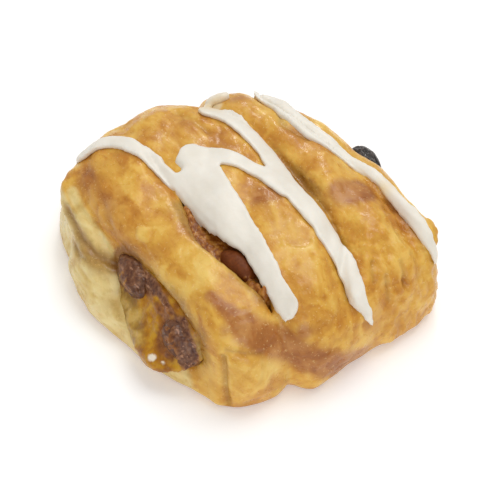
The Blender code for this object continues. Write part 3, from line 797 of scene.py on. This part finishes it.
def crust_material():
    s = Shader("glazed crust")
    wide = s.noise(6, 2, (1, 1.4, 1), 0.5, 0.8)
    fine = s.noise(1.9, 3, (0.9, 1.5, 0.9), 0.55, 0.6)
    # Pale specks: painted glints in the colour, and tiny bumps in the relief.
    speck_and_glint = s.noise(0.7, 2)
    tone = s.plus(s.times(wide, 0.75), s.times(fine, 0.25))
    # Painted light and shade: the crust's raised lumps lighter and its hollows darker.
    tone = s.plus(tone, s.between(s.mask("lift"), 0.2, 0.9, -0.06, 0.07))
    tone = s.plus(tone, s.between(s.mask("flake"), 0, 1, -0.02, 0.02))
    colour = s.ramp(tone, CRUST_TONES)
    # One of these ramps is the painted shade in the creases and valleys.
    for name, strength, grain, tones in (
            ("gold", 0.75, tone, GOLD_TONES), ("pale", 0.8, tone, PALE_TONES), ("raw", 0.9, tone, RAW_TONES),
            ("painted_shade", 0.7, fine, SHADE_TONES), ("brown", 0.9, tone, BROWN_TONES)):
        colour = s.blend(s.mask(name, strength), colour, s.ramp(grain, tones))
    colour = s.blend(s.mask("stain", 0.85), colour, tint(136, 84, 30))
    # Painted shade in the creases.
    colour = s.blend(s.mask("crease", 0.45), colour, tint(146, 96, 40))
    colour = s.blend(s.mask("rim", 0.12), colour, tint(156, 98, 38))
    # Painted highlights: small pale glints.
    colour = s.blend(s.between(speck_and_glint, 0.62, 0.72, 0, 0.4), colour, tint(246, 216, 150))
    colour = s.blend(s.mask("milk", 0.8), colour, tint(236, 220, 184))
    colour = s.blend(s.mask("under"), colour, tint(190, 136, 72))
    gloss = s.between(fine, 0.35, 0.65, 0.26, 0.5)
    relief = s.bump(s.plus(fine, s.times(speck_and_glint, 0.5)), 0.3, 0.35)
    return s.finish(Base_Color=colour, Roughness=gloss, Normal=relief, Coat_Weight=0.25, Coat_Roughness=0.16,
                    Coat_Normal=relief, Subsurface_Weight=0.12, Subsurface_Radius=(2.4, 1.2, 0.5),
                    Subsurface_Scale=MM, Specular_IOR_Level=0.3)


def filling_material():
    s = Shader("custard and jam")
    wide = s.noise(3.4, 3)
    fine = s.noise(1.3, 3)
    colour = s.blend(s.mask("soaked"), s.ramp(wide, CUSTARD_TONES), s.ramp(wide, SOAKED_TONES))
    colour = s.blend(s.mask("jam"), colour, s.ramp(fine, JAM_TONES))
    colour = s.blend(s.mask("dark", 0.35), colour, tint(66, 34, 24))
    colour = s.blend(s.mask("amber"), colour, s.ramp(fine, AMBER_TONES))
    colour = s.blend(s.mask("slit"), colour, s.ramp(fine, SYRUP_TONES))
    # Painted highlights: pale pink streaks of sheen on the jam.
    sheen = s.between(s.noise(1.6, 2, (0.7, 1.6, 0.7)), 0.6, 0.68, 0, 0.6)
    colour = s.blend(s.times(sheen, s.mask("jam")), colour, tint(188, 138, 104))
    # A painted highlight on the wet ooze.
    colour = s.blend(s.mask("cream"), colour, tint(236, 222, 200))
    relief = s.bump(s.plus(wide, fine), 0.5, 0.7)
    return s.finish(Base_Color=colour, Roughness=0.34, Normal=relief, Coat_Weight=0.3, Coat_Roughness=0.08,
                    Coat_Normal=relief, Subsurface_Weight=0.2, Subsurface_Radius=(3, 1.4, 0.5),
                    Subsurface_Scale=MM, Specular_IOR_Level=0.25)


def raisin_material(name, gloss=0.3, coat=0.3):
    dark, light, bloom = RAISIN_COLOURS[name]
    s = Shader(name)
    fine = s.noise(1.1, 4)
    colour = s.ramp(fine, ((0.3, dark), (0.7, light)))
    # Painted shade in the skin's creases.
    colour = s.blend(s.mask("crease", 0.5), colour, tint(*dark))
    colour = s.blend(s.between(s.noise(2.5, 3), 0.45, 0.7, 0, 0.55), colour, tint(*bloom))
    relief = s.bump(fine, 0.3, 0.6)
    return s.finish(Base_Color=colour, Roughness=gloss, Normal=relief, Coat_Weight=coat, Coat_Roughness=0.12,
                    Subsurface_Weight=0.1, Subsurface_Radius=(1.2, 0.4, 0.2), Subsurface_Scale=MM,
                    Specular_IOR_Level=0.25)


def icing_material():
    s = Shader("white icing")
    wide = s.noise(7, 3)
    fine = s.noise(1.2, 3)
    colour = s.blend(s.mask("thin"), s.ramp(wide, ICING_TONES), tint(226, 200, 150))
    relief = s.bump(s.plus(wide, s.times(fine, 0.3)), 0.25, 0.5)
    return s.finish(Base_Color=colour, Roughness=0.42, Normal=relief, Subsurface_Weight=0.2,
                    Subsurface_Radius=(1.4, 1.2, 1.0), Subsurface_Scale=MM, Specular_IOR_Level=0.4)


# ---------------------------------------------------------------- floor, light and camera

CAMERA_AZIMUTH = -32
CAMERA_HEIGHT = 48              # degrees above the horizon
CAMERA_AIM = (-1.5, -6.55, 14.4)
CAMERA_DISTANCE = 550
CAMERA_LENS = 138.6
SENSOR_WIDTH = 36
FLOOR_SIDE = 6                  # metres
FLOOR_GLOW = 0.16
SKY_STRENGTH = 0.5
LAMPS = (                       # name, place and side in metres, power in watts
    ("key", (0.3, 0.1, 0.9), 0.6, 3.6), ("fill", (-0.5, -0.8, 0.6), 0.6, 2.5),
    ("glint", (0.42, 0.55, 0.6), 0.12, 0.9),
)


def floor():
    bpy.ops.mesh.primitive_plane_add(size=FLOOR_SIDE)
    plane = bpy.context.object
    plane.name = "floor"
    s = Shader("pale floor")
    plane.data.materials.append(s.finish(
        Base_Color=s.ramp(s.noise(40, 2), FLOOR_TONES), Roughness=0.8, Emission_Color=(1, 1, 1, 1),
        Emission_Strength=FLOOR_GLOW))


def lamp(name, place, size, power):
    """A soft square lamp that faces the pastry."""
    data = bpy.data.lights.new(name, "AREA")
    data.size = size
    data.energy = power
    made = bpy.data.objects.new(name, data)
    made.location = place
    made.rotation_euler = (-Vector(place)).to_track_quat("-Z", "Y").to_euler()
    bpy.context.scene.collection.objects.link(made)


def studio():
    """A white sky and the lamps."""
    world = bpy.data.worlds.new("studio")
    world.use_nodes = True
    background = world.node_tree.nodes["Background"]
    background.inputs["Color"].default_value = (1, 1, 1, 1)
    background.inputs["Strength"].default_value = SKY_STRENGTH
    bpy.context.scene.world = world
    for settings in LAMPS:
        lamp(*settings)
    bpy.context.scene.view_settings.view_transform = "Standard"


def camera():
    """The photo's view."""
    turn, height = math.radians(CAMERA_AZIMUTH), math.radians(CAMERA_HEIGHT)
    back = Vector((math.sin(turn) * math.cos(height), -math.cos(turn) * math.cos(height), math.sin(height)))
    right = Vector((math.cos(turn), math.sin(turn), 0))
    data = bpy.data.cameras.new("camera")
    data.lens = CAMERA_LENS
    data.sensor_width = SENSOR_WIDTH
    made = bpy.data.objects.new("camera", data)
    place = Matrix((right, back.cross(right), back)).transposed().to_4x4()
    place.translation = (Vector(CAMERA_AIM) + back * CAMERA_DISTANCE) * MM
    made.matrix_world = place
    bpy.context.scene.collection.objects.link(made)
    bpy.context.scene.camera = made


# ---------------------------------------------------------------- the whole scene

def build():
    camera()
    studio()
    floor()
    before, after, surface = crust()
    filling()
    for node in ("icing_main", "icing_right"):
        icing(node, before, after, surface)
    moist = raisin_material("moist raisin")
    soaked = raisin_material("soaked raisin", gloss=0.6, coat=0.03)
    dry = raisin_material("dry raisin")
    raisin("raisin_end_upper", 151, moist, wrinkle=0.8, proud=0.8, shift=(-0.1, -1.4, -0.4), rounds=26)
    raisin("raisin_end_lower", 157, moist, wrinkle=0.8, proud=0.8, shift=(-0.3, 0.3, 0), rounds=40)
    raisin("raisin_slit", 163, soaked, wrinkle=0.1, proud=0.9, shift=(0.3, 0, 0.6))
    raisin("raisin_right", 167, dry, wrinkle=0.6, proud=0.3, shift=(-0.4, -0.5, -1.2))


build()
